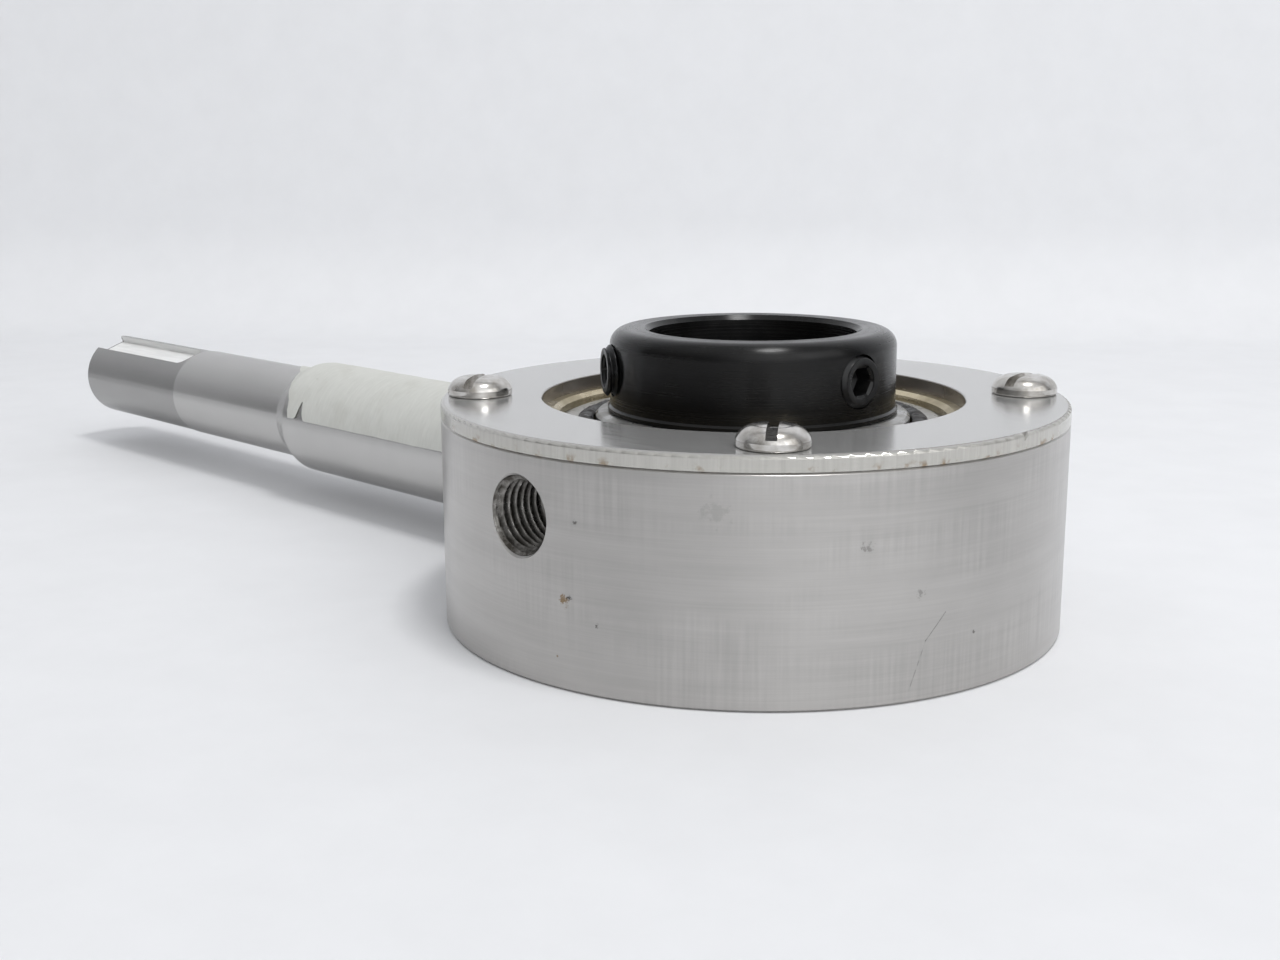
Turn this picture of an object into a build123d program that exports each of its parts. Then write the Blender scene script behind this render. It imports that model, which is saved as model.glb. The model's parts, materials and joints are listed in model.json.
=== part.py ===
"""Arm-mounted bearing housing: a round stainless housing on a stepped, keyed arm,
holding an insert ball bearing whose long inner ring is the set-screw shaft collar.

Units are millimetres. The origin is on the bore axis at the plane of the ball centres,
+Z runs along the bore towards the collar, and +X runs along the arm to its free end.
"""
import os
from math import cos, hypot, radians, sin, sqrt

from build123d import *

# Housing
HOUSING_R = 57.15            # 4 1/2 in round stock
HOUSING_HEIGHT = 38.1        # 1 1/2 in
EDGE_BREAK = 0.45
SHOULDER_R = 34.5            # opening under the bearing

# Insert bearing, 208 size
BEARING_R = 40.0
OUTER_RING_WIDTH = 30.2
SEAT_CLEARANCE = 0.02
BALL_R = 6.35
BALL_COUNT = 9
PITCH_R = 30.0
RACE_R = 6.6                 # section radius of both ball grooves
RACE_PLAY = 0.06             # between a ball and the bottom of each groove
OUTER_LAND_R = 34.1
INNER_LAND_R = 25.9
LAND_HALF = 10.5             # half length of the ground lands beside the race
BORE_R = 19.05               # 1 1/2 in shaft
COLLAR_R = 26.2
COLLAR_TOP = 30.2            # ball plane to the collar's end
RING_TAIL = 19.0             # ball plane to the short end
COLLAR_FOOT = 15.2           # where the collar meets the flinger
COLLAR_ROUND = 2.95
BORE_CHAMFER = 0.85
NECK_R = 25.2                # flinger seat

# Seals, stated for the collar side and mirrored below
SEAL_SEAT_R = 35.8
SEAL_GROOVE_R = 36.3
SHIELD_INNER_R = 32.2
FLINGER_R = 28.9
LIP_GAP = 0.3

# Set screws, 3/8 in
SET_SCREW_R = 4.70
SET_SCREW_HOLE_R = 4.77
SET_SCREW_LENGTH = 7.4
SET_SCREW_HEX = 4.76         # socket across flats
SET_SCREW_Z = 23.0
SET_SCREWS = ((56.7, 1.5), (176.7, 0.45))   # angle, and how far each stands proud

# Retaining plate and its slotted pan-head screws, 1/4 in
PLATE_THICKNESS = 2.7
PLATE_BORE_R = 38.7
PLATE_ROUND = 0.7            # worn outer edge
SCREW_CIRCLE_R = 50.2
SCREW_COUNT = 4
SCREW_SHANK_R = 3.1
SCREW_HEAD_R = 5.9
SCREW_HEAD_HEIGHT = 3.65
SLOT_WIDTH = 1.8
SLOT_DEPTH = 1.75
SLOT_TURNS = (72.0, -8.0, 47.0, 20.0)       # each slot's turn from its own radius

# Grease port, 1/4 in pipe thread
PORT_R = 6.7
PORT_MOUTH_R = 7.05
PORT_FLOOR_R = 42.5          # bore axis to the floor of the threaded part
PORT_DRILL_R = 2.4           # grease hole from the floor on to the bearing
PORT_Z = 4.5

# Arm
ARM_SHANK_R = 13.5           # 1 1/16 in
ARM_BAR_R = 11.3
ARM_JOURNAL_R = 11.1125      # 7/8 in keyed journal
ARM_SPIGOT_R = 9.5
SPIGOT_START = 43.5
SPOT_FACE_X = 55.3
SHANK_END = 139.5
BAR_START = 145.5
JOURNAL_START = 196.6
ARM_END = 247.5
ARM_CHAMFER = 0.8
KEY_START = 197.4            # inner end of the keyway
KEY_WIDTH = 7.94             # 5/16 in
KEY_FLOOR = 8.5              # arm axis to the keyway's floor
KEY_TURN = 20.0              # keyway's turn from straight up, towards +Y

# Tape strip on the arm
TAPE_THICKNESS = 0.2
TAPE_START_ANGLE = 8.0       # from +Y, turning up over the arm
TAPE_ARC = 106.0
TAPE_START = 58.0
TAPE_END = 156.0
TEAR_X = 150.9               # the torn end crosses the arm on a slant
TEAR_SLOPE = 1.25

RIM_Z = OUTER_RING_WIDTH / 2
BASE_Z = RIM_Z - HOUSING_HEIGHT
PLATE_TOP = RIM_Z + PLATE_THICKNESS
ARM_Z = (RIM_Z + BASE_Z) / 2
SCREW_ANGLES = [45 + 360 / SCREW_COUNT * i for i in range(SCREW_COUNT)]
PORT_ANGLE = 90


def polar(radius, angle, z=0.0):
    """Point at a radius and an angle in degrees about the bore axis."""
    return (radius * cos(radians(angle)), radius * sin(radians(angle)), z)


def radial_plane(radius, angle, z):
    """Sketch plane facing outwards on a radius of the bore axis."""
    return Plane(origin=polar(radius, angle, z), x_dir=(0, 0, 1), z_dir=polar(1, angle))


def turned(points):
    """Ring turned about Z from the corners (radius, height) of its section."""
    with BuildPart() as ring:
        with BuildSketch(Plane.XZ):
            with BuildLine():
                Polyline(*points, close=True)
            make_face()
        revolve(axis=Axis.Z)
    return ring.part


def save(part, label):
    """Label a finished piece and write it as its own node."""
    part.label = label
    export_step(part, f"parts/{label}.step")


os.makedirs("parts", exist_ok=True)

# Housing: bored from the top down to a shoulder, with the port, the arm socket
# and the tapped holes for the plate.
with BuildPart() as housing:
    with BuildSketch(Plane.XZ):
        with BuildLine():
            Polyline(
                (SHOULDER_R, BASE_Z),
                (HOUSING_R, BASE_Z),
                (HOUSING_R, RIM_Z),
                (BEARING_R + SEAT_CLEARANCE, RIM_Z),
                (BEARING_R + SEAT_CLEARANCE, -RIM_Z),
                (SHOULDER_R, -RIM_Z),
                close=True,
            )
        make_face()
    revolve(axis=Axis.Z)
    rims = housing.edges().filter_by(GeomType.CIRCLE).sort_by(SortBy.RADIUS)[-2:]
    chamfer(rims, EDGE_BREAK)
    with Locations(radial_plane(HOUSING_R, PORT_ANGLE, PORT_Z)):
        CounterSinkHole(PORT_R, PORT_MOUTH_R, depth=HOUSING_R - PORT_FLOOR_R, counter_sink_angle=90)
        Hole(PORT_DRILL_R, depth=HOUSING_R - BEARING_R + 1)
    with BuildSketch(Plane.YZ.offset(SPOT_FACE_X)):
        with Locations((0, ARM_Z)):
            Circle(ARM_SHANK_R + 0.3)
    extrude(amount=10, mode=Mode.SUBTRACT)
    with BuildSketch(Plane.YZ.offset(SPIGOT_START - 0.5)):
        with Locations((0, ARM_Z)):
            Circle(ARM_SPIGOT_R + SEAT_CLEARANCE)
    extrude(amount=20, mode=Mode.SUBTRACT)
    with BuildSketch(Plane.XY.offset(RIM_Z)):
        with Locations([polar(SCREW_CIRCLE_R, a) for a in SCREW_ANGLES]):
            Circle(SCREW_SHANK_R + SEAT_CLEARANCE)
    extrude(amount=-16, mode=Mode.SUBTRACT)
save(housing.part, "housing")

# Retaining plate: a flat ring with a rounded rim, and a nick in it.
NICK_ANGLE = 181.4
NICK_WIDTH = 1.3
NICK_DEPTH = 0.7
with BuildPart() as plate:
    with BuildSketch(Plane.XY.offset(RIM_Z)):
        Circle(HOUSING_R)
        Circle(PLATE_BORE_R, mode=Mode.SUBTRACT)
        with Locations([polar(SCREW_CIRCLE_R, a) for a in SCREW_ANGLES]):
            Circle(SCREW_SHANK_R + 0.4, mode=Mode.SUBTRACT)
    extrude(amount=PLATE_THICKNESS)
    top_edges = plate.edges().filter_by(GeomType.CIRCLE).group_by(Axis.Z)[-1]
    bore_edge, rim_edge = top_edges.sort_by(SortBy.RADIUS)[-2:]
    chamfer(bore_edge, 0.2)
    fillet(rim_edge, PLATE_ROUND)
    with BuildSketch(radial_plane(HOUSING_R, NICK_ANGLE, PLATE_TOP)):
        with BuildLine():
            Polyline((0.1, -NICK_WIDTH), (0.1, NICK_WIDTH / 2), (-NICK_DEPTH * 2, 0.4), close=True)
        make_face()
    extrude(amount=-NICK_DEPTH, mode=Mode.SUBTRACT)
save(plate.part, "retaining_plate")


def cover_screw(angle, slot_angle):
    """Slotted pan-head screw standing in the plate at one place on the screw circle."""
    seat = Plane(origin=polar(SCREW_CIRCLE_R, angle, PLATE_TOP), x_dir=polar(1, slot_angle), z_dir=(0, 0, 1))
    with BuildPart() as screw:
        with BuildSketch(Plane(origin=seat.origin, x_dir=seat.x_dir, z_dir=-seat.y_dir)):
            with BuildLine():
                under = Line((0, 0), (SCREW_HEAD_R - 0.45, 0))
                foot = ThreePointArc(under @ 1, (SCREW_HEAD_R - 0.13, 0.13), (SCREW_HEAD_R, 0.45))
                side = Line(foot @ 1, (SCREW_HEAD_R, 1.3))
                crown = ThreePointArc(side @ 1, (SCREW_HEAD_R - 1.05, 2.75), (SCREW_HEAD_R - 3.1, 3.4))
                dome = ThreePointArc(crown @ 1, (1.4, SCREW_HEAD_HEIGHT - 0.06), (0, SCREW_HEAD_HEIGHT))
                Line(dome @ 1, (0, 0))
            make_face()
        revolve(axis=Axis(seat.origin, seat.z_dir))
        with BuildSketch(seat):
            Circle(SCREW_SHANK_R)
        extrude(amount=-15)
        with BuildSketch(seat.offset(SCREW_HEAD_HEIGHT - SLOT_DEPTH)):
            Rectangle(3 * SCREW_HEAD_R, SLOT_WIDTH)
        extrude(amount=SLOT_DEPTH + 1, mode=Mode.SUBTRACT)
    return screw.part


for i, (angle, turn) in enumerate(zip(SCREW_ANGLES, SLOT_TURNS), start=1):
    save(cover_screw(angle, angle + turn), f"cover_screw_{i}")

# Outer ring: ball groove, seal seats at both ends, and a grease groove under the port
# with two holes through to the balls.
GREASE_Z = 8.0
with BuildPart() as outer_ring:
    with BuildSketch(Plane.XZ):
        with BuildLine():
            upper = [
                (BEARING_R, RIM_Z - 0.6),
                (BEARING_R - 0.6, RIM_Z),
                (SEAL_SEAT_R + 1.1, RIM_Z),
                (SEAL_SEAT_R, RIM_Z - 0.7),
                (SEAL_SEAT_R, 13.7),
                (SEAL_GROOVE_R, 13.5),
                (SEAL_GROOVE_R, 12.2),
                (OUTER_LAND_R, 12.2),
            ]
            lower = [(r, -z) for r, z in reversed(upper)]
            Polyline(*upper, *lower, close=True)
        make_face()
    revolve(axis=Axis.Z)
    with BuildSketch(Plane.XZ):
        with Locations((PITCH_R + BALL_R + RACE_PLAY - RACE_R, 0)):
            Circle(RACE_R)
        with Locations((BEARING_R, GREASE_Z)):
            Rectangle(2, 4)
    revolve(axis=Axis.Z, mode=Mode.SUBTRACT)
    for side in (0, 180):
        with BuildSketch(radial_plane(OUTER_LAND_R - 1, PORT_ANGLE + side, GREASE_Z)):
            Circle(1.5)
        extrude(amount=BEARING_R - OUTER_LAND_R + 2, mode=Mode.SUBTRACT)
save(outer_ring.part, "outer_ring")

# Inner ring: one piece with the set-screw collar.
with BuildPart() as inner_ring:
    with BuildSketch(Plane.XZ):
        with BuildLine():
            Polyline(
                (BORE_R, -RING_TAIL + BORE_CHAMFER),
                (BORE_R + BORE_CHAMFER, -RING_TAIL),
                (NECK_R - 0.6, -RING_TAIL),
                (NECK_R, -RING_TAIL + 0.6),
                (NECK_R, -LAND_HALF),
                (INNER_LAND_R, -LAND_HALF),
                (INNER_LAND_R, LAND_HALF),
                (NECK_R, LAND_HALF),
                (NECK_R, COLLAR_FOOT),
                (COLLAR_R + 0.15, COLLAR_FOOT),
                (COLLAR_R + 0.4, COLLAR_FOOT + 0.3),
                (COLLAR_R + 0.4, COLLAR_FOOT + 0.8),
                (COLLAR_R, COLLAR_FOOT + 1.2),
                (COLLAR_R, COLLAR_TOP),
                (BORE_R + BORE_CHAMFER, COLLAR_TOP),
                (BORE_R, COLLAR_TOP - BORE_CHAMFER),
                close=True,
            )
        make_face()
    revolve(axis=Axis.Z)
    crown_edge = inner_ring.edges().filter_by(GeomType.CIRCLE).group_by(Axis.Z)[-1].sort_by(SortBy.RADIUS)[-1]
    fillet(crown_edge, COLLAR_ROUND)
    with BuildSketch(Plane.XZ):
        with Locations((PITCH_R - BALL_R - RACE_PLAY + RACE_R, 0)):
            Circle(RACE_R)
    revolve(axis=Axis.Z, mode=Mode.SUBTRACT)
    for angle, _ in SET_SCREWS:
        with BuildSketch(radial_plane(0, angle, SET_SCREW_Z)):
            Circle(SET_SCREW_HOLE_R)
        extrude(amount=COLLAR_R + 5, mode=Mode.SUBTRACT)
save(inner_ring.part, "inner_ring")


def set_screw(angle, proud):
    """Cup-point socket set screw on a radius of the collar."""
    face = radial_plane(COLLAR_R + proud, angle, SET_SCREW_Z)
    with BuildPart() as screw:
        with BuildSketch(face):
            Circle(SET_SCREW_R)
        extrude(amount=-SET_SCREW_LENGTH)
        ends = screw.edges().filter_by(GeomType.CIRCLE)
        chamfer(ends, 0.5)
        with BuildSketch(face):
            RegularPolygon(SET_SCREW_HEX / sqrt(3), 6)
        extrude(amount=-4, mode=Mode.SUBTRACT)
        with BuildSketch(face.offset(-SET_SCREW_LENGTH)):
            Circle(SET_SCREW_R - 1.2)
        extrude(amount=0.9, taper=40, mode=Mode.SUBTRACT)
    return screw.part


for i, (angle, proud) in enumerate(SET_SCREWS, start=1):
    save(set_screw(angle, proud), f"set_screw_{i}")

# Balls on the pitch circle.
BALL_STEP = 360 / BALL_COUNT
BALL_ANGLES = [BALL_STEP * i for i in range(BALL_COUNT)]
for i, angle in enumerate(BALL_ANGLES, start=1):
    with BuildPart() as ball:
        with BuildSketch(Plane.XZ):
            Circle(BALL_R)
            Rectangle(2 * BALL_R, 2 * BALL_R, align=(Align.MAX, Align.CENTER), mode=Mode.SUBTRACT)
        revolve(axis=Axis.Z)
    save(ball.part.moved(Location(polar(PITCH_R, angle))), f"ball_{i}")

# Riveted ribbon cage: two pressed halves with a pocket round each ball.
CAGE_INNER_R = 28.5
CAGE_OUTER_R = 31.5
RIBBON = 0.9
POCKET_R = BALL_R + 0.15
RIVET_R = 0.8


def cage_half(side):
    """One pressed half of the cage, above (+1) or below (-1) the ball plane."""
    with BuildPart() as half:
        with BuildSketch():
            Circle(CAGE_OUTER_R)
            Circle(CAGE_INNER_R, mode=Mode.SUBTRACT)
        extrude(amount=side * RIBBON)
        with Locations([polar(PITCH_R, a) for a in BALL_ANGLES]):
            Sphere(POCKET_R + RIBBON)
        with BuildSketch():
            Circle(CAGE_OUTER_R)
            Circle(CAGE_INNER_R, mode=Mode.SUBTRACT)
        extrude(amount=side * 2 * BALL_R, mode=Mode.INTERSECT)
        with Locations([polar(PITCH_R, a) for a in BALL_ANGLES]):
            Sphere(POCKET_R, mode=Mode.SUBTRACT)
        with BuildSketch():
            with Locations([polar(PITCH_R, a + BALL_STEP / 2) for a in BALL_ANGLES]):
                Circle(RIVET_R + SEAT_CLEARANCE)
        extrude(amount=side * RIBBON, mode=Mode.SUBTRACT)
    return half.part


save(cage_half(1), "cage_upper")
save(cage_half(-1), "cage_lower")

with BuildPart() as rivets:
    for height, radius in ((RIBBON, RIVET_R), (RIBBON + 0.6, RIVET_R + 0.5)):
        for side in (1, -1):
            start = 0 if radius == RIVET_R else RIBBON
            with BuildSketch(Plane.XY.offset(side * start)):
                with Locations([polar(PITCH_R, a + BALL_STEP / 2) for a in BALL_ANGLES]):
                    Circle(radius)
            extrude(amount=side * (height - start))
save(rivets.part, "cage_rivets")

# Seals: a pressed steel shield with a rubber lip, and a flinger on the inner ring.
SHIELD = [
    (SEAL_GROOVE_R - 0.05, 12.25),
    (SEAL_GROOVE_R - 0.05, 12.9),
    (34.8, 12.9),
    (34.5, 13.6),
    (SHIELD_INNER_R, 13.6),
    (SHIELD_INNER_R, 12.9),
    (33.9, 12.9),
    (34.2, 12.25),
]
LIP = [
    (SHIELD_INNER_R - 0.05, 12.3),
    (SHIELD_INNER_R - 0.05, 13.9),
    (31.0, 14.4),
    (FLINGER_R + LIP_GAP, 14.2),
    (FLINGER_R + LIP_GAP, 13.6),
    (29.9, 12.9),
    (30.1, 12.3),
]
FLINGER = [
    (NECK_R + SEAT_CLEARANCE, 13.1),
    (FLINGER_R - 0.4, 13.1),
    (FLINGER_R, 13.5),
    (FLINGER_R, 14.35),
    (28.4, 14.85),
    (27.0, COLLAR_FOOT - 0.05),
    (NECK_R + SEAT_CLEARANCE, COLLAR_FOOT - 0.05),
]
for name, section in (("shield", SHIELD), ("seal_lip", LIP), ("flinger", FLINGER)):
    save(turned(section), f"{name}_upper")
    save(turned([(r, -z) for r, z in section]), f"{name}_lower")

# Arm: spigot, shank, tapered step, bar and keyed journal.
arm_axis = Axis((0, 0, ARM_Z), (1, 0, 0))
with BuildPart() as arm:
    with BuildSketch(Plane.XY.offset(ARM_Z)):
        with BuildLine():
            Polyline(
                (SPIGOT_START, 0),
                (SPIGOT_START, ARM_SPIGOT_R),
                (SPOT_FACE_X, ARM_SPIGOT_R),
                (SPOT_FACE_X, ARM_SHANK_R),
                (SHANK_END, ARM_SHANK_R),
                (BAR_START, ARM_BAR_R),
                (JOURNAL_START, ARM_BAR_R),
                (JOURNAL_START, ARM_JOURNAL_R),
                (ARM_END, ARM_JOURNAL_R),
                (ARM_END, 0),
                close=True,
            )
        make_face()
    revolve(axis=arm_axis)
    chamfer(arm.edges().filter_by(GeomType.CIRCLE).sort_by(Axis.X)[-1], ARM_CHAMFER)
    key_up = (0, sin(radians(KEY_TURN)), cos(radians(KEY_TURN)))
    key_floor = Plane(
        origin=(KEY_START, KEY_FLOOR * key_up[1], ARM_Z + KEY_FLOOR * key_up[2]),
        x_dir=(1, 0, 0),
        z_dir=key_up,
    )
    with BuildSketch(key_floor):
        with Locations((KEY_WIDTH / 2, 0)):
            Circle(KEY_WIDTH / 2)
        with Locations((KEY_WIDTH / 2, -KEY_WIDTH / 2)):
            Rectangle(ARM_END - KEY_START, KEY_WIDTH, align=Align.MIN)
    extrude(amount=ARM_JOURNAL_R, mode=Mode.SUBTRACT)
save(arm.part, "arm")

# Tape strip: a thin skin over the shank, the step and the start of the bar.
skin = [(TAPE_START, ARM_SHANK_R), (SHANK_END, ARM_SHANK_R), (BAR_START, ARM_BAR_R), (TAPE_END, ARM_BAR_R)]
step_slope = hypot(BAR_START - SHANK_END, ARM_SHANK_R - ARM_BAR_R) / (BAR_START - SHANK_END)
tape_gap = 0.01
tape_angle = radians(TAPE_START_ANGLE)
tape_section = Plane(origin=(0, 0, ARM_Z), x_dir=(1, 0, 0), z_dir=(0, -sin(tape_angle), cos(tape_angle)))
with BuildPart() as tape:
    with BuildSketch(tape_section):
        with BuildLine():
            outside = [(x, r + tape_gap + TAPE_THICKNESS * step_slope) for x, r in skin]
            inside = [(x, r + tape_gap) for x, r in reversed(skin)]
            Polyline(*outside, *inside, close=True)
        make_face()
    revolve(axis=arm_axis, revolution_arc=TAPE_ARC)
    tear = Plane(origin=(TEAR_X, 0, ARM_Z), z_dir=(1, TEAR_SLOPE, 0))
    split(bisect_by=tear, keep=Keep.BOTTOM)
save(tape.part, "tape_strip")
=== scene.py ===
"""Looks of the arm-mounted bearing housing: materials, threads, tape, light and camera.

Everything is in metres in the CAD frame: the origin is on the bore axis at the ball plane,
+Z runs towards the collar, +X along the arm and +Y towards the grease port.
"""

import json
from math import cos, exp, pi, radians, sin

import bmesh
import bpy
from mathutils import Matrix, Vector, noise


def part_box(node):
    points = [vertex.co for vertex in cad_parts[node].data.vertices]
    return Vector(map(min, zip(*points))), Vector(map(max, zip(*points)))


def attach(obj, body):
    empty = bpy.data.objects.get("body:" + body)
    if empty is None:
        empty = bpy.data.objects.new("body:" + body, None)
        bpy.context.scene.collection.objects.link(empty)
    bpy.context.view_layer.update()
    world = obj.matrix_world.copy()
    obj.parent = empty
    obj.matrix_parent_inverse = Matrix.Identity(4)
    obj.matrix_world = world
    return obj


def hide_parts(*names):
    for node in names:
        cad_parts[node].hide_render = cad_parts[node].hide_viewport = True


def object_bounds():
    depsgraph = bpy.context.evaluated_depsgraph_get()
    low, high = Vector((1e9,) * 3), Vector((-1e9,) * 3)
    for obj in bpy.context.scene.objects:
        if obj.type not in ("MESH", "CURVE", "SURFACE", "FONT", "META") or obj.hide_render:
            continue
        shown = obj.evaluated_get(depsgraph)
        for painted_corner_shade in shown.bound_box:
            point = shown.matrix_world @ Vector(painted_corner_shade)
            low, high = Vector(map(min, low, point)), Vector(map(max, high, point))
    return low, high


MM = 0.001
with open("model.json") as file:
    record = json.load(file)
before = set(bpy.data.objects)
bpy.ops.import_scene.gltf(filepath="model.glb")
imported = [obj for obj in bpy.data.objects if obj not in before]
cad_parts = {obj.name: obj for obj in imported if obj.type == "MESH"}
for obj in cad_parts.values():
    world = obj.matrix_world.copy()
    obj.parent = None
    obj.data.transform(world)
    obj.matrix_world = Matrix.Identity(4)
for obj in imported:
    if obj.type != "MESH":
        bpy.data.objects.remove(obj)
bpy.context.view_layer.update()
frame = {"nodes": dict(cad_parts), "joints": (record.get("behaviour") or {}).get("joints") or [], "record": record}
nodes = frame["nodes"]
mounts = {m["name"]: m for m in frame["record"]["mounts"]}
joints = {j["name"]: j for j in frame["joints"]}


# ---------------------------------------------------------------- material helper

class Graph:
    """One material with its Principled shader, and short calls that add and link nodes."""

    def __init__(self, name, metallic, roughness, specular=0.5):
        self.material = bpy.data.materials.new(name)
        self.material.use_nodes = True
        self.tree = self.material.node_tree
        self.shader = self.tree.nodes["Principled BSDF"]
        self.shader.inputs["Metallic"].default_value = metallic
        self.shader.inputs["Roughness"].default_value = roughness
        self.shader.inputs["Specular IOR Level"].default_value = specular
        self.place = self.add("ShaderNodeTexCoord").outputs["Object"]
        axes = self.add("ShaderNodeSeparateXYZ", self.place)
        self.x, self.y, self.z = axes.outputs

    def add(self, kind, *inputs, **settings):
        """A new node, with its settings and its first inputs given in order."""
        node = self.tree.nodes.new(kind)
        for key, value in settings.items():
            setattr(node, key, value)
        for socket, value in zip(node.inputs, inputs):
            self.feed(socket, value)
        return node

    def feed(self, socket, value):
        """Link an output to a socket, or set a plain value on it."""
        if isinstance(value, bpy.types.NodeSocket):
            self.tree.links.new(value, socket)
        else:
            socket.default_value = value

    def math(self, operation, a, b=0.0):
        """The result of one sum."""
        return self.add("ShaderNodeMath", a, b, operation=operation).outputs[0]

    def stretched(self, x, y, z):
        """Object coordinates with each axis scaled, in cycles per metre."""
        return self.vector("MULTIPLY", self.place, (x, y, z))

    def noise(self, coords, scale=1.0, detail=2.0, rough=0.5):
        """Noise from about 0.25 to 0.75."""
        node = self.add("ShaderNodeTexNoise")
        self.feed(node.inputs["Vector"], coords)
        node.inputs["Scale"].default_value = scale
        node.inputs["Detail"].default_value = detail
        node.inputs["Roughness"].default_value = rough
        return node.outputs["Fac"]

    def ramp(self, value, low, high, start=0.0, end=1.0):
        """Map low..high to start..end, clamped."""
        node = self.add("ShaderNodeMapRange", value, low, high, start, end)
        return node.outputs[0]

    def across(self, value, band, start=0.0, end=1.0):
        """Map the two ends of a band in millimetres to start and end, clamped."""
        return self.ramp(value, band[0] * MM, band[1] * MM, start, end)

    def bore_radius(self):
        """Distance from the bore axis."""
        return self.vector("LENGTH", self.stretched(1, 1, 0), output="Value")

    def blend(self, factor, a, b):
        """Mix of two colours."""
        node = self.add("ShaderNodeMix", data_type="RGBA")
        self.feed(node.inputs["Factor"], factor)
        for socket, value in (("A", a), ("B", b)):
            colour = [s for s in node.inputs if s.name == socket and s.type == "RGBA"][0]
            self.feed(colour, value if isinstance(value, bpy.types.NodeSocket) else (*value, 1.0))
        return [s for s in node.outputs if s.type == "RGBA"][0]

    def shade(self, factor, colour):
        """A colour multiplied by a factor."""
        return self.vector("SCALE", colour, scale=factor)

    def vector(self, operation, *inputs, output="Vector", scale=None):
        """The result of one step on vectors."""
        node = self.add("ShaderNodeVectorMath", *inputs, operation=operation)
        if scale is not None:
            self.feed(node.inputs["Scale"], scale)
        return node.outputs[output]

    def spot(self, centre, radius, strength):
        """A ragged smudge about a point: its strength inside, 0 outside."""
        ragged = self.noise(self.place, 1.1 / radius, 5.0, 0.75)
        reach = self.ramp(ragged, 0.38, 0.66, 0.0, 1.6 * radius)
        distance = self.vector("DISTANCE", self.place, tuple(centre), output="Value")
        outside = self.math("SUBTRACT", distance, reach)
        return self.ramp(outside, -0.35 * radius, 0.25 * radius, strength, 0.0)

    def scratch(self, start, end, width, strength):
        """A thin line between two points: its strength on the line, 0 off it."""
        along = end - start
        offset = self.vector("SUBTRACT", self.place, tuple(start))
        share = self.vector("DOT_PRODUCT", offset, tuple(along / along.length_squared), output="Value")
        foot = self.vector("SCALE", tuple(along), scale=self.ramp(share, 0.0, 1.0))
        distance = self.vector("DISTANCE", offset, foot, output="Value")
        worn = self.noise(self.place, 900.0, 2.0, 0.5)
        line = self.ramp(distance, 0.4 * width, width, strength, 0.0)
        return self.math("MULTIPLY", line, self.ramp(worn, 0.40, 0.55, 0.2, 1.0))

    def stretch_highlights(self, axis, amount):
        """Highlights pulled out along an axis, across brushing that runs round it."""
        self.shader.inputs["Anisotropic"].default_value = amount
        self.shader.inputs["Anisotropic Rotation"].default_value = 0.25
        tangent = self.add("ShaderNodeTangent", direction_type="RADIAL", axis=axis)
        self.feed(self.shader.inputs["Tangent"], tangent.outputs[0])

    def bump(self, height, distance, strength=1.0):
        node = self.add("ShaderNodeBump")
        node.inputs["Strength"].default_value = strength
        node.inputs["Distance"].default_value = distance
        self.feed(node.inputs["Height"], height)
        self.feed(self.shader.inputs["Normal"], node.outputs[0])

    def colour(self, value):
        socket = value if isinstance(value, bpy.types.NodeSocket) else (*value, 1.0)
        self.feed(self.shader.inputs["Base Color"], socket)

    def roughness(self, value):
        self.feed(self.shader.inputs["Roughness"], value)


def around_bore(radius, angle, z):
    """Point in metres from a radius in mm, an angle in degrees and a height in mm."""
    return Vector((radius * cos(radians(angle)), radius * sin(radians(angle)), z)) * MM


# ---------------------------------------------------------------- materials

HOUSING_R = nodes["housing"].dimensions.y / 2 / MM
HOUSING_TONE = (0.485, 0.473, 0.458)
PLATE_TONE = (0.515, 0.512, 0.504)
PLATE_SPECK = (0.20, 0.19, 0.17)
PLATE_CORNER_SHADE_TONE = (0.24, 0.22, 0.19)
PLATE_EDGE_TONE = (0.54, 0.53, 0.495)
PLATE_BORE_TONE = (0.15, 0.13, 0.11)
ARM_TONE = (0.54, 0.533, 0.522)
KEYWAY_HIGHLIGHT_TONE = (0.84, 0.84, 0.83)
RUST = (0.22, 0.13, 0.04)
DARK_SPECK = (0.06, 0.055, 0.05)
GREY_SMUDGE = (0.20, 0.19, 0.18)
# bands in mm that a finish, painted shade or a painted highlight changes across: from the bore axis, up, along the
# arm or from the arm's axis
PLATE_EDGE_BAND = (56.55, 56.9)
PLATE_CORNER_SHADE_BANDS = ((56.40, 56.52), (56.60, 56.72))
PLATE_BORE_BAND = (38.72, 38.87)
EDGE_RUST_HEIGHTS = (15.1, 16.5)
FLINGER_BAND = (29.2, 30.0)
THREAD_ROOT_SHADE_BAND = (5.3, 6.2)
JOURNAL_BAND = (196.5, 197.2)
KEYWAY_BANDS = ((197.3, 197.4), (246.68, 246.72))
KEYWAY_RADII = (11.02, 11.06)
# angle about the bore, height and size in mm, strength, tint
HOUSING_SMUDGES = (
    (100.2, -7.8, 1.0, 0.8, RUST),
    (101.1, -7.2, 0.5, 0.9, DARK_SPECK),
    (102.4, 5.2, 0.45, 0.8, DARK_SPECK),
    (106.5, -11.1, 0.40, 0.8, DARK_SPECK),
    (98.6, -17.4, 0.3, 0.7, RUST),
    (170.0, -13.1, 0.35, 0.7, DARK_SPECK),
    (149.5, 2.9, 0.9, 0.6, GREY_SMUDGE),
    (158.8, -5.1, 0.75, 0.55, GREY_SMUDGE),
    (126.0, 8.5, 2.2, 0.22, GREY_SMUDGE),
    (250.0, 3.0, 0.6, 0.6, DARK_SPECK),
    (300.0, -9.0, 0.9, 0.6, RUST),
    (35.0, -15.0, 0.45, 0.6, DARK_SPECK),
    (215.0, -6.0, 0.8, 0.4, GREY_SMUDGE),
)
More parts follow.
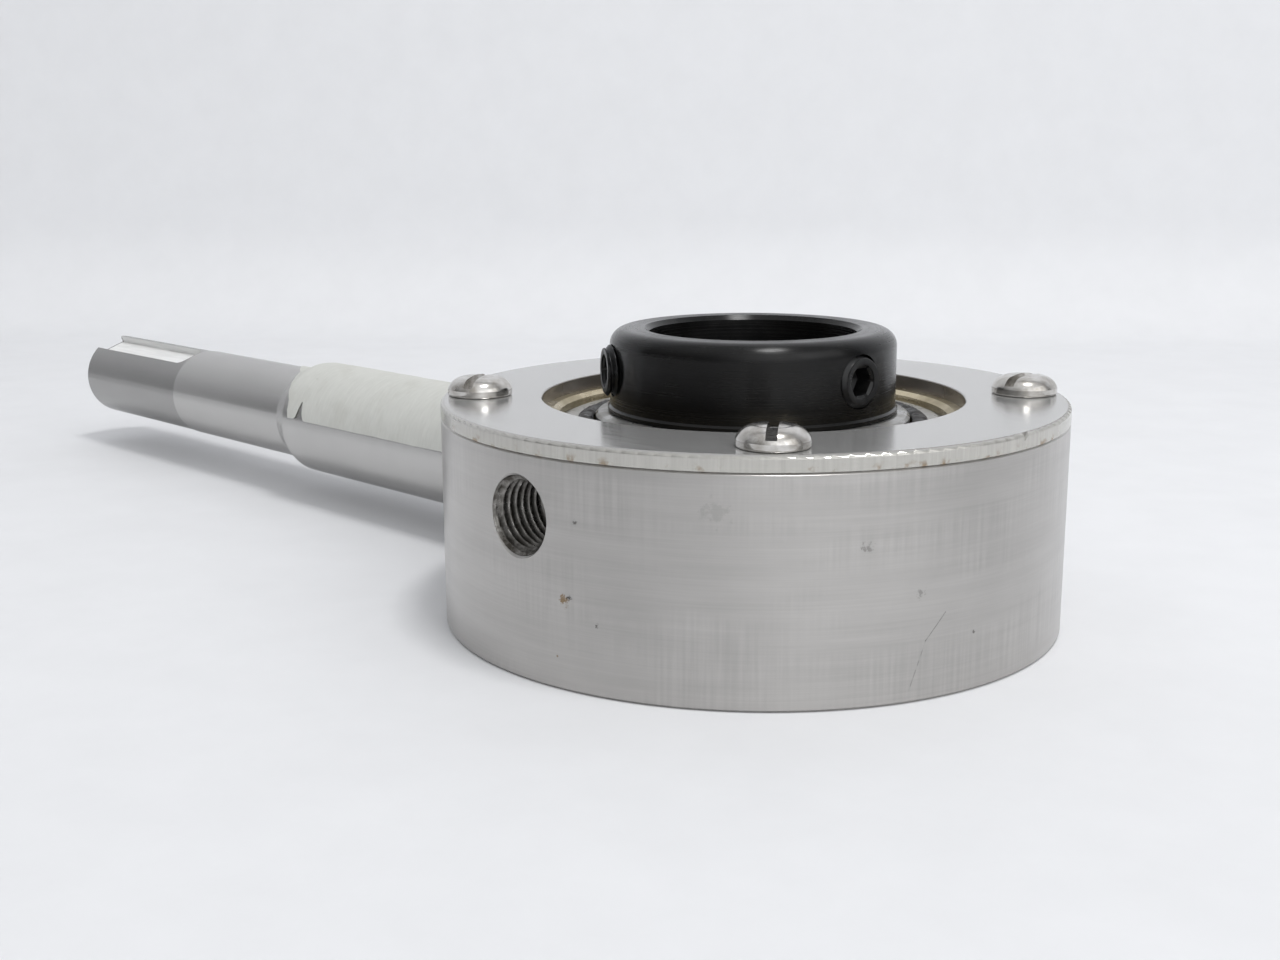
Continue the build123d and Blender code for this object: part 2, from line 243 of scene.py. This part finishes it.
# from one (angle, height) to the next, and strength
HOUSING_SCRATCHES = (
    ((163.75, -8.8), (160.05, -13.0), 0.45),
    ((160.05, -13.0), (157.25, -20.8), 0.35),
    ((236.0, -2.0), (232.0, -14.0), 0.3),
)
SCRATCH_WIDTH = 0.14 * MM
STREAK_LENGTH = 22.0          # cycles per metre along a brushed line
STREAK_PITCH = 3600.0         # cycles per metre across brushed lines
RING_LENGTH = 9.0             # the same along and across the collar's turned rings
RING_PITCH = 3800.0


def brushed(graph, lines, base, contrast, rough, rough_swing, depth=1e-6):
    """Fine lines and soft clouds over a base colour, with matching roughness and bump."""
    fine = graph.noise(lines, 1.0, 4.0, 0.65)
    clouds = graph.noise(graph.place, 60.0, 4.0, 0.6)
    shade = graph.math("ADD", graph.ramp(fine, 0.3, 0.7, 1 - contrast, 1 + contrast),
                       graph.ramp(clouds, 0.3, 0.7, -contrast, contrast))
    graph.roughness(graph.ramp(fine, 0.25, 0.75, rough - rough_swing, rough + rough_swing))
    graph.bump(fine, depth)
    return graph.shade(shade, base)


def housing_steel():
    """Turned and hand-polished rim: level brushing, chatter, smudges, specks and a scratch."""
    g = Graph("housing_steel", 0.93, 0.33)
    g.stretch_highlights("Z", 0.55)
    level_lines = g.stretched(STREAK_LENGTH, STREAK_LENGTH, STREAK_PITCH)
    colour = brushed(g, level_lines, HOUSING_TONE, 0.04, 0.33, 0.04)
    bands = g.noise(g.stretched(30, 30, 420), 1.0, 3.0, 0.6)
    colour = g.shade(g.ramp(bands, 0.3, 0.7, 0.95, 1.045), colour)
    chatter = g.ramp(g.noise(g.stretched(1300, 1300, 45), 1.0, 2.0, 0.5), 0.35, 0.65, -0.05, 0.05)
    patches = g.ramp(g.noise(g.stretched(35, 35, 90), 1.0, 2.0, 0.5), 0.45, 0.62)
    colour = g.shade(g.math("ADD", g.math("MULTIPLY", chatter, patches), 1.0), colour)
    for angle, z, size, strength, tint in HOUSING_SMUDGES:
        colour = g.blend(g.spot(around_bore(HOUSING_R, angle, z), size * MM, strength), colour, tint)
    for start, end, strength in HOUSING_SCRATCHES:
        ends = around_bore(HOUSING_R, *start), around_bore(HOUSING_R, *end)
        colour = g.blend(g.scratch(*ends, SCRATCH_WIDTH, strength), colour, DARK_SPECK)
    g.colour(colour)
    return g.material


def plate_steel():
    """Ground sheet: soft reflections on the face, a darker bore wall, a rusty edge under a painted shade line at
    the corner.
    """
    g = Graph("plate_steel", 0.6, 0.2)
    face = brushed(g, g.stretched(60, 900, 900), PLATE_TONE, 0.03, 0.17, 0.04, 4e-7)
    specks = g.ramp(g.noise(g.place, 620.0, 2.0, 0.5), 0.69, 0.75)
    face = g.blend(g.math("MULTIPLY", specks, 0.35), face, PLATE_SPECK)
    grind = g.noise(g.stretched(1500, 1500, 60), 1.0, 3.0, 0.6)
    edge = g.shade(g.ramp(grind, 0.3, 0.7, 0.90, 1.07), PLATE_EDGE_TONE)
    low = g.across(g.z, EDGE_RUST_HEIGHTS, 1.0, 0.0)
    rust = g.math("MULTIPLY", g.ramp(g.noise(g.place, 420.0, 3.0, 0.6), 0.56, 0.66), low)
    edge = g.blend(g.math("MULTIPLY", rust, 0.75), edge, RUST)
    radius = g.bore_radius()
    colour = g.blend(g.across(radius, PLATE_EDGE_BAND), face, edge)
    # the bore wall darker than the face
    colour = g.blend(g.across(radius, PLATE_BORE_BAND, 0.9, 0.0), colour, PLATE_BORE_TONE)
    # painted shade: a thin darker line along the corner between the plate's face and its edge
    painted_corner_shade = g.math("MULTIPLY", g.across(radius, PLATE_CORNER_SHADE_BANDS[0]),
                    g.across(radius, PLATE_CORNER_SHADE_BANDS[1], 0.55, 0.0))
    g.colour(g.blend(painted_corner_shade, colour, PLATE_CORNER_SHADE_TONE))
    return g.material


def arm_steel():
    """Turned bar: rings across the arm, a darker finish on the keyed end and a milled keyway with a painted
    highlight.
    """
    g = Graph("arm_steel", 0.95, 0.26)
    g.stretch_highlights("X", 0.75)
    turned_lines = g.stretched(STREAK_PITCH, STREAK_LENGTH, STREAK_LENGTH)
    colour = brushed(g, turned_lines, ARM_TONE, 0.03, 0.25, 0.03)
    colour = g.blend(g.across(g.x, JOURNAL_BAND), colour, g.shade(0.72, colour))
    offset = g.vector("SUBTRACT", g.place, (0, 0, mounts["arm_journal"]["pos_m"][2]))
    radius = g.vector("LENGTH", g.vector("MULTIPLY", offset, (0, 1, 1)), output="Value")
    milled_and_highlit = g.math("MULTIPLY", g.across(radius, KEYWAY_RADII, 1.0, 0.0), g.across(g.x, KEYWAY_BANDS[0]))
    milled_and_highlit = g.math("MULTIPLY", milled_and_highlit, g.across(g.x, KEYWAY_BANDS[1], 1.0, 0.0))
    cutter = g.ramp(g.noise(g.stretched(90, 900, 900)), 0.3, 0.7, 0.93, 1.05)
    # the keyway painted near-white: a painted highlight on top of its milled, duller finish
    g.colour(g.blend(milled_and_highlit, colour, g.shade(cutter, KEYWAY_HIGHLIGHT_TONE)))
    g.roughness(g.ramp(milled_and_highlit, 0.0, 1.0, 0.25, 0.5))
    g.feed(g.shader.inputs["Metallic"], g.ramp(milled_and_highlit, 0.0, 1.0, 0.95, 0.45))
    return g.material


def screw_steel():
    """Bright screw heads, dulled in patches."""
    g = Graph("screw_steel", 0.97, 0.12)
    dull = g.noise(g.place, 420.0, 3.0, 0.6)
    g.colour(g.blend(g.ramp(dull, 0.4, 0.7), (0.66, 0.645, 0.62), (0.40, 0.375, 0.34)))
    g.roughness(g.ramp(dull, 0.3, 0.7, 0.10, 0.26))
    g.bump(g.noise(g.place, 900.0, 2.0, 0.5), 8e-6, 0.5)
    return g.material


def bearing_steel():
    """Ground ring face under a film of old oil."""
    g = Graph("bearing_steel", 0.85, 0.25)
    film = g.noise(g.place, 160.0, 4.0, 0.6)
    g.colour(g.blend(g.ramp(film, 0.35, 0.65), (0.62, 0.54, 0.38), (0.40, 0.34, 0.22)))
    g.roughness(g.ramp(film, 0.3, 0.7, 0.18, 0.4))
    g.bump(g.noise(g.stretched(60, 60, 60), 1.0, 2.0), 4e-6)
    return g.material


def black_oxide():
    """Oiled black oxide over turned steel, with fine rings round the shoulder."""
    g = Graph("black_oxide", 0.0, 0.32, 0.30)
    g.stretch_highlights("Z", 0.8)
    radius = g.bore_radius()
    rings = g.add("ShaderNodeCombineXYZ", g.math("MULTIPLY", radius, RING_PITCH),
                  g.math("MULTIPLY", g.z, RING_PITCH), g.math("MULTIPLY", g.x, RING_LENGTH)).outputs[0]
    fine = g.noise(rings, 1.0, 3.0, 0.6)
    bloom = g.noise(g.place, 140.0, 4.0, 0.6)
    g.colour(g.blend(g.ramp(bloom, 0.35, 0.75), (0.0028, 0.0028, 0.003), (0.0065, 0.006, 0.0055)))
    g.roughness(g.math("ADD", g.ramp(fine, 0.3, 0.7, 0.19, 0.28), g.ramp(bloom, 0.3, 0.7, -0.02, 0.05)))
    g.bump(fine, 3e-6)
    return g.material


def black_screw():
    """Dry black oxide, rubbed a little paler."""
    g = Graph("black_screw", 0.0, 0.35, 0.4)
    wear = g.noise(g.place, 700.0, 3.0, 0.6)
    g.colour(g.blend(g.ramp(wear, 0.45, 0.8), (0.005, 0.005, 0.0055), (0.016, 0.0155, 0.015)))
    g.roughness(g.ramp(wear, 0.3, 0.7, 0.25, 0.42))
    return g.material


def shield_steel():
    """Zinc-plated pressings under an oily film, the flinger darker than the shield."""
    g = Graph("shield_steel", 0.7, 0.3)
    film = g.noise(g.place, 220.0, 3.0, 0.6)
    colour = g.blend(g.ramp(film, 0.4, 0.7), (0.62, 0.62, 0.61), (0.40, 0.38, 0.34))
    g.colour(g.shade(g.across(g.bore_radius(), FLINGER_BAND, 0.62, 1.0), colour))
    g.roughness(g.ramp(film, 0.3, 0.7, 0.22, 0.42))
    return g.material


def seal_rubber():
    """Nitrile rubber, wet with grease in patches."""
    g = Graph("seal_rubber", 0.0, 0.5, 0.45)
    grease = g.noise(g.place, 330.0, 4.0, 0.65)
    g.colour(g.blend(g.ramp(grease, 0.45, 0.65), (0.008, 0.008, 0.008), (0.035, 0.031, 0.027)))
    g.roughness(g.ramp(grease, 0.35, 0.65, 0.2, 0.6))
    g.bump(grease, 1.5e-4, 0.8)
    return g.material


def cage_steel():
    """Pressed strip with an oily film."""
    g = Graph("cage_steel", 0.9, 0.35)
    film = g.noise(g.place, 260.0, 3.0, 0.6)
    g.colour(g.blend(film, (0.60, 0.57, 0.50), (0.45, 0.41, 0.33)))
    g.bump(film, 1e-5)
    return g.material


def ball_steel():
    """Polished balls with a thin film of grease."""
    g = Graph("ball_steel", 1.0, 0.06)
    film = g.noise(g.place, 300.0, 2.0, 0.5)
    g.colour(g.blend(film, (0.80, 0.79, 0.77), (0.68, 0.66, 0.60)))
    return g.material


def thread_grease_and_shade():
    """Cut thread under a film of old grease, with painted shade darkening the roots more than the crests."""
    g = Graph("thread_grease_and_shade", 0.85, 0.3)
    axis = tuple(mounts["grease_port"]["pos_m"])
    offset = g.vector("MULTIPLY", g.vector("SUBTRACT", g.place, axis), (1, 0, 1))
    # painted shade: the thread's roots, away from the port's axis, take more of the dark colour than the crests,
    # over a random film of grease
    depth = g.across(g.vector("LENGTH", offset, output="Value"), THREAD_ROOT_SHADE_BAND)
    film = g.noise(g.place, 520.0, 4.0, 0.65)
    grease_and_root_shade = g.math("ADD", g.math("MULTIPLY", depth, 0.45), 0.55)
    dirt = g.math("MULTIPLY", g.ramp(film, 0.3, 0.6, 0.45, 1.0), grease_and_root_shade)
    g.colour(g.blend(dirt, (0.50, 0.485, 0.46), (0.060, 0.054, 0.046)))
    g.roughness(g.ramp(film, 0.3, 0.7, 0.22, 0.42))
    return g.material


def paper_tape():
    """Creped paper tape: fine cross ridges, a little dirt."""
    g = Graph("paper_tape", 0.0, 0.75, 0.3)
    crepe = g.noise(g.stretched(1500, 300, 300), 1.0, 3.0, 0.6)
    dirt = g.noise(g.place, 90.0, 4.0, 0.6)
    colour = g.shade(g.ramp(crepe, 0.3, 0.7, 0.955, 1.035), (0.625, 0.63, 0.595))
    g.colour(g.blend(g.ramp(dirt, 0.5, 0.8, 0.0, 0.35), colour, (0.42, 0.41, 0.36)))
    g.bump(crepe, 3e-5, 0.5)
    return g.material


MATERIALS = {
    "housing_steel": housing_steel(), "plate_steel": plate_steel(), "arm_steel": arm_steel(),
    "screw_steel": screw_steel(), "bearing_steel": bearing_steel(), "black_oxide": black_oxide(),
    "black_screw": black_screw(), "shield_steel": shield_steel(), "seal_rubber": seal_rubber(),
    "cage_steel": cage_steel(), "ball_steel": ball_steel(), "tape": paper_tape(),
}
THREAD_GREASE_AND_SHADE = thread_grease_and_shade()

for part in frame["record"]["subparts"]:
    for slot in nodes[part["node"]].material_slots:
        slot.material = MATERIALS[part["material_slot"]]


# ---------------------------------------------------------------- mesh helper

def mesh_piece(name, points, faces, body, slot, sharp=35.0, material=None):
    """A smooth-shaded piece riding on a body, in its slot's material unless given another."""
    mesh = bpy.data.meshes.new(name)
    mesh.from_pydata(points, [], faces)
    mesh.validate()
    shell = bmesh.new()
    shell.from_mesh(mesh)
    bmesh.ops.recalc_face_normals(shell, faces=shell.faces)
    shell.to_mesh(mesh)
    shell.free()
    mesh.shade_smooth()
    mesh.set_sharp_from_angle(angle=radians(sharp))
    mesh.materials.append(material or MATERIALS[slot])
    piece = bpy.data.objects.new(name, mesh)
    bpy.context.scene.collection.objects.link(piece)
    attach(piece, body)
    return piece


def skin_rings(rings, looped=False):
    """Faces between rings of equally many points, and from the last ring to the first if looped."""
    count = len(rings[0])
    points = [p for ring in rings for p in ring]
    faces = []
    for i in range(len(rings) if looped else len(rings) - 1):
        a, b = i * count, (i + 1) % len(rings) * count
        faces += [(a + j, a + (j + 1) % count, b + (j + 1) % count, b + j) for j in range(count)]
    return points, faces


def thread_wave(turns):
    """0 at a thread's root and 1 at its crest, with small flats."""
    phase = turns % 1.0
    return min(1.0, max(0.0, 1.25 * (1 - abs(2 * phase - 1)) - 0.125))


def placed(origin, along, points):
    """Points given as (radius, angle, distance) about an axis, as vectors in the frame."""
    turn = Vector(along).to_track_quat("Z", "Y")
    return [Vector(origin) + turn @ Vector((r * cos(a), r * sin(a), d)) for r, a, d in points]


# ---------------------------------------------------------------- port thread

PIPE_PITCH = 1.411 * MM       # 18 threads to the inch
PIPE_DEPTH = 0.95 * MM
PIPE_TAPER = 1 / 32           # on the radius
THREAD_SEGMENTS = 96
THREAD_STEPS = 14             # rings of points to a pitch
THREAD_GAP = 0.02 * MM        # the thread's root stands off the wall
MOUTH_DEPTH = 1.1 * MM        # the thread fades out over this much at the mouth


def port_thread():
    """Internal pipe thread as a thin sleeve on the port's wall."""
    port = mounts["grease_port"]
    wall = port["dims"]["r_mm"] * MM - 0.01 * MM
    length = port["dims"]["length_mm"] * MM - 0.15 * MM
    outwards = Vector(port["axis"])
    start = Vector(port["pos_m"]) - outwards * length / 2
    steps = round(length / PIPE_PITCH * THREAD_STEPS)
    angles = [2 * pi * j / THREAD_SEGMENTS for j in range(THREAD_SEGMENTS)]
    rings = []
    for i in range(steps + 1):
        depth = length * (1 - i / steps)
        distance = length - depth
        row = []
        for a in angles:
            root = wall - THREAD_GAP - depth * PIPE_TAPER
            radius = root - PIPE_DEPTH * thread_wave(distance / PIPE_PITCH + a / (2 * pi))
            if depth < MOUTH_DEPTH:
                radius = max(radius, wall - THREAD_GAP - PIPE_DEPTH * 1.1 + MOUTH_DEPTH - depth)
            row.append((min(wall - THREAD_GAP, radius), a, distance))
        rings.append(row)
    rings = [[(wall, a, 0.0) for a in angles], *rings, [(wall, a, length) for a in angles]]
    points, faces = skin_rings([placed(start, outwards, ring) for ring in rings], looped=True)
    mesh_piece("port_thread", points, faces, "housing", "housing_steel", 50.0, THREAD_GREASE_AND_SHADE)


port_thread()


# ---------------------------------------------------------------- set screws

SET_PITCH = 25.4 / 16 * MM
SET_MAJOR = 4.69 * MM
SET_MINOR = 3.95 * MM
SOCKET_FLATS = 4.76 * MM
SOCKET_DEPTH = 3.7 * MM
SOCKET_TIP = 0.9 * MM         # the drill's cone below the socket
COUNTERSINK = (2.98 * MM, 3.06 * MM)
SET_CHAMFER = 0.62 * MM
CUP_R = 2.9 * MM
CUP_DEPTH = 1.2 * MM
CENTRE = 1e-6                 # radius of a ring that closes a surface


def hexagon(angle, flats):
    """Radius of a hexagon at an angle."""
    return flats / 2 / cos((angle % (pi / 3)) - pi / 6)


def set_screw(name, joint):
    """Threaded cup-point set screw with a countersunk hex socket."""
    inwards = Vector(joints[joint]["axis"])
    low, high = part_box(name)
    reach = [v.co.dot(-inwards) for v in nodes[name].data.vertices]
    face, length = max(reach), max(reach) - min(reach)
    origin = -inwards * face + Vector((0, 0, (low.z + high.z) / 2))
    angles = [2 * pi * j / THREAD_SEGMENTS for j in range(THREAD_SEGMENTS)]
    steps = round(length / SET_PITCH * THREAD_STEPS)
    rings = [[(CENTRE, a, SOCKET_DEPTH + SOCKET_TIP) for a in angles]]
    rings += [[(hexagon(a, SOCKET_FLATS) * k, a, d) for a in angles]
              for k, d in ((0.9, SOCKET_DEPTH), (1.0, SOCKET_DEPTH - 0.1 * MM), (1.0, 0.55 * MM))]
    rings += [[(max(COUNTERSINK[0], hexagon(a, SOCKET_FLATS)), a, d) for a in angles]
              for d in (0.2 * MM, 0.03 * MM)]
    rings += [[(r, a, 0.0) for a in angles] for r in (COUNTERSINK[1], SET_MAJOR - SET_CHAMFER - 0.05 * MM)]
    for i in range(steps + 1):
        d = length * i / steps
        end = min(d, length - d)
        row = []
        for a in angles:
            thread = SET_MINOR + (SET_MAJOR - SET_MINOR) * thread_wave(d / SET_PITCH - a / (2 * pi))
            row.append((min(thread, SET_MAJOR - SET_CHAMFER + end), a, d))
        rings.append(row)
    rings += [[(CUP_R, a, length) for a in angles], [(CENTRE, a, length - CUP_DEPTH) for a in angles]]
    points, faces = skin_rings([placed(origin, inwards, ring) for ring in rings])
    piece = mesh_piece(f"threaded_{name}", points, faces, name, "black_screw", sharp=40.0)
    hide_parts(name)


set_screw("set_screw_1", "set_screw_1_travel")
set_screw("set_screw_2", "set_screw_2_travel")


# ---------------------------------------------------------------- seal lips

# corners (radius, height) in mm
LIP_SECTION = ((32.13, 12.35), (32.13, 13.75), (31.6, 14.15), (30.9, 14.3), (30.2, 14.25), (29.55, 14.1),
               (29.3, 13.75), (29.6, 13.2), (30.0, 12.7), (30.3, 12.35))
LIP_LUMP = 0.42               # height of the lumps in mm
LIP_TOP = 14.38               # height in mm that no lump reaches past


def seal_lip(name, up):
    """Rubber lip smeared with lumps of grease between the shield and the flinger."""
    rings = []
    for k in range(360):
        a = 2 * pi * k / 360
        ring = []
        for r, z in LIP_SECTION:
            place = Vector((r * cos(a), r * sin(a), z * up))
            lump = noise.noise(place * 0.9) + 0.6 * noise.noise(place * 2.1)
            grows = 1.0 if z > 13.6 and r < 31.8 else 0.0
            height = min(LIP_TOP, z - 0.15 * grows + grows * lump * LIP_LUMP)
            ring.append(Vector((place.x, place.y, height * up)) * MM)
        rings.append(ring)
    points, faces = skin_rings(rings, looped=True)
    piece = mesh_piece(f"greasy_{name}", points, faces, "housing", "seal_rubber", sharp=60.0)
    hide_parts(name)


seal_lip("seal_lip_upper", 1)
seal_lip("seal_lip_lower", -1)


# ---------------------------------------------------------------- tape strip

SHANK_R = 13.5 * MM
BAR_R = 11.3 * MM
SHANK_END = 139.5 * MM
BAR_START = 145.5 * MM
ARM_Z = mounts["arm_journal"]["pos_m"][2]
TAPE_START = 58.0 * MM
TAPE_LOW = 8.5                # degrees up from +Y
TAPE_HIGH = 113.5
TEAR_X = 150.8 * MM
TEAR_SLOPE = 1.25
TAPE_THICKNESS = 0.16 * MM
NOTCH_X = 132.0 * MM
NOTCH_HEIGHT = 19.0           # degrees
NOTCH_WIDTH = 1.1 * MM


def arm_radius(x):
    """Radius of the arm under the tape, with the tape's stiffness easing the step."""
    share = min(1.0, max(0.0, (x - SHANK_END + 1.0 * MM) / (BAR_START - SHANK_END + 2.0 * MM)))
    ease = share * share * (3 - 2 * share)
    step = min(1.0, max(0.0, (x - SHANK_END) / (BAR_START - SHANK_END)))
    bare = SHANK_R + (BAR_R - SHANK_R) * step
    return max(bare, SHANK_R + (BAR_R - SHANK_R) * ease) + 0.03 * MM


def tape_strip():
    """Torn paper tape over the shank, the step and the start of the bar."""
    columns, rows = 300, 56
    top, bottom = [], []
    for i in range(columns + 1):
        u = i / columns
        for j in range(rows + 1):
            v = j / rows
            angle = TAPE_LOW + (TAPE_HIGH - TAPE_LOW) * v
            torn = TEAR_X - TEAR_SLOPE * BAR_R * cos(radians(angle))
            torn += 0.9 * MM * noise.noise(Vector((v * 9, 3.1, 0)))
            torn += 0.35 * MM * noise.noise(Vector((v * 60, 7.7, 0)))
            x = TAPE_START + (torn - TAPE_START) * u
            notch = NOTCH_HEIGHT * exp(-((x - NOTCH_X) / NOTCH_WIDTH) ** 2)
            low = TAPE_LOW + notch + 0.5 * noise.noise(Vector((x / MM / 9, 0.4, 2.0)))
            angle = low + (TAPE_HIGH - low) * v
            place = Vector((x / MM / 7, angle / 22, 1.3))
            lift = 0.10 * MM * (noise.noise(place) + 0.6) + 0.03 * MM * (noise.noise(place * 5) + 0.5)
            loose = max(0.0, noise.noise(Vector((x / MM / 6, 8.8, 0.0))))
            lift += 0.25 * MM * max(0.0, 1 - v * rows / 3) * loose
            lift = max(0.0, lift)
            r = arm_radius(x) + lift
            direction = Vector((0, cos(radians(angle)), sin(radians(angle))))
            middle = Vector((x, 0, ARM_Z))
            bottom.append(middle + direction * r)
            top.append(middle + direction * (r + TAPE_THICKNESS))
    stride = rows + 1
    offset = len(top)
    faces = []
    for i in range(columns):
        for j in range(rows):
            a = i * stride + j
            faces.append((a, a + 1, a + stride + 1, a + stride))
            faces.append(tuple(offset + k for k in (a, a + stride, a + stride + 1, a + 1)))
    rim = [j for j in range(rows)] + [i * stride + rows for i in range(columns)]
    rim += [columns * stride + j for j in range(rows, 0, -1)] + [i * stride for i in range(columns, 0, -1)]
    for k, a in enumerate(rim):
        b = rim[(k + 1) % len(rim)]
        faces.append((a, offset + a, offset + b, b))
    piece = mesh_piece("paper_tape", top + bottom, faces, "housing", "tape", sharp=60.0)
    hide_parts("tape_strip")


tape_strip()


# ---------------------------------------------------------------- floor, light and camera

CAMERA_ANGLE = 131.15         # about the bore axis, in degrees
CAMERA_DISTANCE = 0.28843
CAMERA_HEIGHT = 0.06464
CAMERA_PAN = -4.12            # to the left of the axis
CAMERA_TILT = -12.364
CAMERA_ROLL = -0.18
FOCAL_LENGTH = 44.31
FLOOR_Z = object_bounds()[0][2]
WALL_DISTANCE = 0.44          # behind the bore axis
COVE_R = 0.05

ROOM_TINT = (0.975, 0.985, 1.0, 1.0)
ROOM_LEVEL = 0.0
# azimuth to the right of the camera, elevation, sharpness, strength
ROOM_LOBES = ((22, 20, 5, 1.44), (75, 25, 3, 0.18), (-60, 55, 3, 0.24), (0, 90, 2, 0.60))
# azimuth, elevation, distance in metres, size in metres, power in watts
AREA_LIGHTS = {
    "ceiling": (40, 76, 1.0, (0.22, 0.14), 3.4),
    "side_right": (60, 32, 1.1, (0.7, 0.7), 1.1),
}

view = Vector((cos(radians(CAMERA_ANGLE)), sin(radians(CAMERA_ANGLE)), 0))
side = Vector((-view.y, view.x, 0))


def plain_material(name, colour, roughness):
    g = Graph(name, 0.0, roughness, 0.3)
    grain = g.noise(g.place, 60.0, 4.0, 0.6)
    g.colour(g.shade(g.ramp(grain, 0.3, 0.7, 0.985, 1.015), colour))
    return g.material


def sweep_floor():
    """Pale floor that curves up into a wall behind the object."""
    outline = [(-3.0, 0.0), (WALL_DISTANCE - COVE_R, 0.0)]
    for i in range(1, 13):
        a = radians(90 * i / 12)
        outline.append((WALL_DISTANCE - COVE_R + COVE_R * sin(a), COVE_R * (1 - cos(a))))
    outline.append((WALL_DISTANCE, 2.2))
    points = []
    for width in (-3.0, 3.0):
        points += [-view * d + side * width + Vector((0, 0, FLOOR_Z + h)) for d, h in outline]
    n = len(outline)
    faces = [(i, i + 1, n + i + 1, n + i) for i in range(n - 1)]
    mesh = bpy.data.meshes.new("floor")
    mesh.from_pydata(points, [], faces)
    mesh.shade_smooth()
    mesh.materials.append(plain_material("pale_floor", (0.80, 0.805, 0.82), 0.7))
    floor = bpy.data.objects.new("floor", mesh)
    bpy.context.scene.collection.objects.link(floor)


def heading(azimuth, elevation):
    """Direction at an azimuth to the viewer's right of the camera and an elevation, in degrees."""
    a, e = radians(azimuth), radians(elevation)
    return (view * cos(a) + side * sin(a)) * cos(e) + Vector((0, 0, sin(e)))


def area_light(name, azimuth, elevation, distance, size, power):
    """Soft rectangular light, turned to face the object."""
    light = bpy.data.lights.new(name, "AREA")
    light.shape = "RECTANGLE"
    light.size, light.size_y = size
    light.energy = power
    lamp = bpy.data.objects.new(name, light)
    lamp.location = heading(azimuth, elevation) * distance
    lamp.rotation_euler = lamp.location.to_track_quat("Z", "Y").to_euler()
    bpy.context.scene.collection.objects.link(lamp)


def room_light():
    """Pale surroundings, brighter towards a few directions."""
    world = bpy.data.worlds.new("room")
    bpy.context.scene.world = world
    world.use_nodes = True
    tree = world.node_tree
    background = tree.nodes["Background"]
    background.inputs["Color"].default_value = ROOM_TINT
    place = tree.nodes.new("ShaderNodeTexCoord").outputs["Generated"]

    def step(kind, operation, *inputs):
        node = tree.nodes.new(kind)
        node.operation = operation
        for socket, value in zip(node.inputs, inputs):
            if isinstance(value, bpy.types.NodeSocket):
                tree.links.new(value, socket)
            else:
                socket.default_value = value
        return node.outputs["Value"]

    level = ROOM_LEVEL
    for azimuth, elevation, power, strength in ROOM_LOBES:
        facing = step("ShaderNodeVectorMath", "DOT_PRODUCT", place, heading(azimuth, elevation))
        lobe = step("ShaderNodeMath", "POWER", step("ShaderNodeMath", "MAXIMUM", facing, 0.0), power)
        level = step("ShaderNodeMath", "MULTIPLY_ADD", lobe, strength, level)
    tree.links.new(level, background.inputs["Strength"])


def photo_camera():
    camera = bpy.data.cameras.new("camera")
    camera.sensor_width = 36.0
    camera.lens = FOCAL_LENGTH
    camera.clip_start = 0.01
    holder = bpy.data.objects.new("camera", camera)
    holder.location = view * CAMERA_DISTANCE + Vector((0, 0, CAMERA_HEIGHT))
    turn = (Matrix.Rotation(radians(CAMERA_ANGLE + 90 - CAMERA_PAN), 4, "Z")
            @ Matrix.Rotation(radians(90 + CAMERA_TILT), 4, "X")
            @ Matrix.Rotation(radians(CAMERA_ROLL), 4, "Z"))
    holder.rotation_euler = turn.to_euler()
    bpy.context.scene.collection.objects.link(holder)
    bpy.context.scene.camera = holder


sweep_floor()
room_light()
for name, settings in AREA_LIGHTS.items():
    area_light(name, *settings)
photo_camera()
bpy.context.scene.view_settings.view_transform = "Standard"
